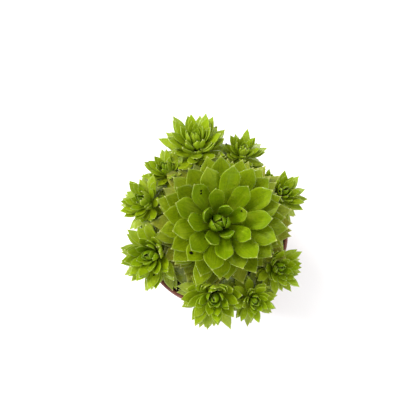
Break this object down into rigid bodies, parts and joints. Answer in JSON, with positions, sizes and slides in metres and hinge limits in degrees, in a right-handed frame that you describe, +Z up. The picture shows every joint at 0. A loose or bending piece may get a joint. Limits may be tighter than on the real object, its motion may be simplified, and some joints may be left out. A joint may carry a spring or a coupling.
{
  "type": "potted houseleek",
  "caption": "Clump of houseleek rosettes, a large hen with smaller chicks crowding round it, growing in potting mix in a small round plastic pot.",
  "frame": {"origin": "middle of the pot's flat base, where it rests", "axes": "+Z up along the pot's axis; the picture looks down with +Y to its top and +X to its right"},
  "size_m": [0.0794, 0.0931, 0.1013],
  "materials": {
    "pot_plastic": "reddish-brown moulded plastic, satin",
    "potting_mix": "dark crumbly mix with bark and pumice chips",
    "hen_leaf": "smooth waxy leaf, yellowish green, paler at the margins",
    "chick_leaf": "smooth waxy leaf, light yellowish green, paler at the tips"
  },
  "bodies": {
    "root": {"pot": "pot_plastic", "potting_mix": "potting_mix", "hen": "hen_leaf", "chick_back": "chick_leaf", "chick_back_right": "chick_leaf", "chick_tiny": "chick_leaf", "chick_right": "chick_leaf", "chick_front_right": "chick_leaf", "chick_front_small": "chick_leaf", "chick_front": "chick_leaf", "chick_front_left": "chick_leaf", "chick_left": "chick_leaf", "chick_back_left": "chick_leaf"}
  },
  "joints": []
}
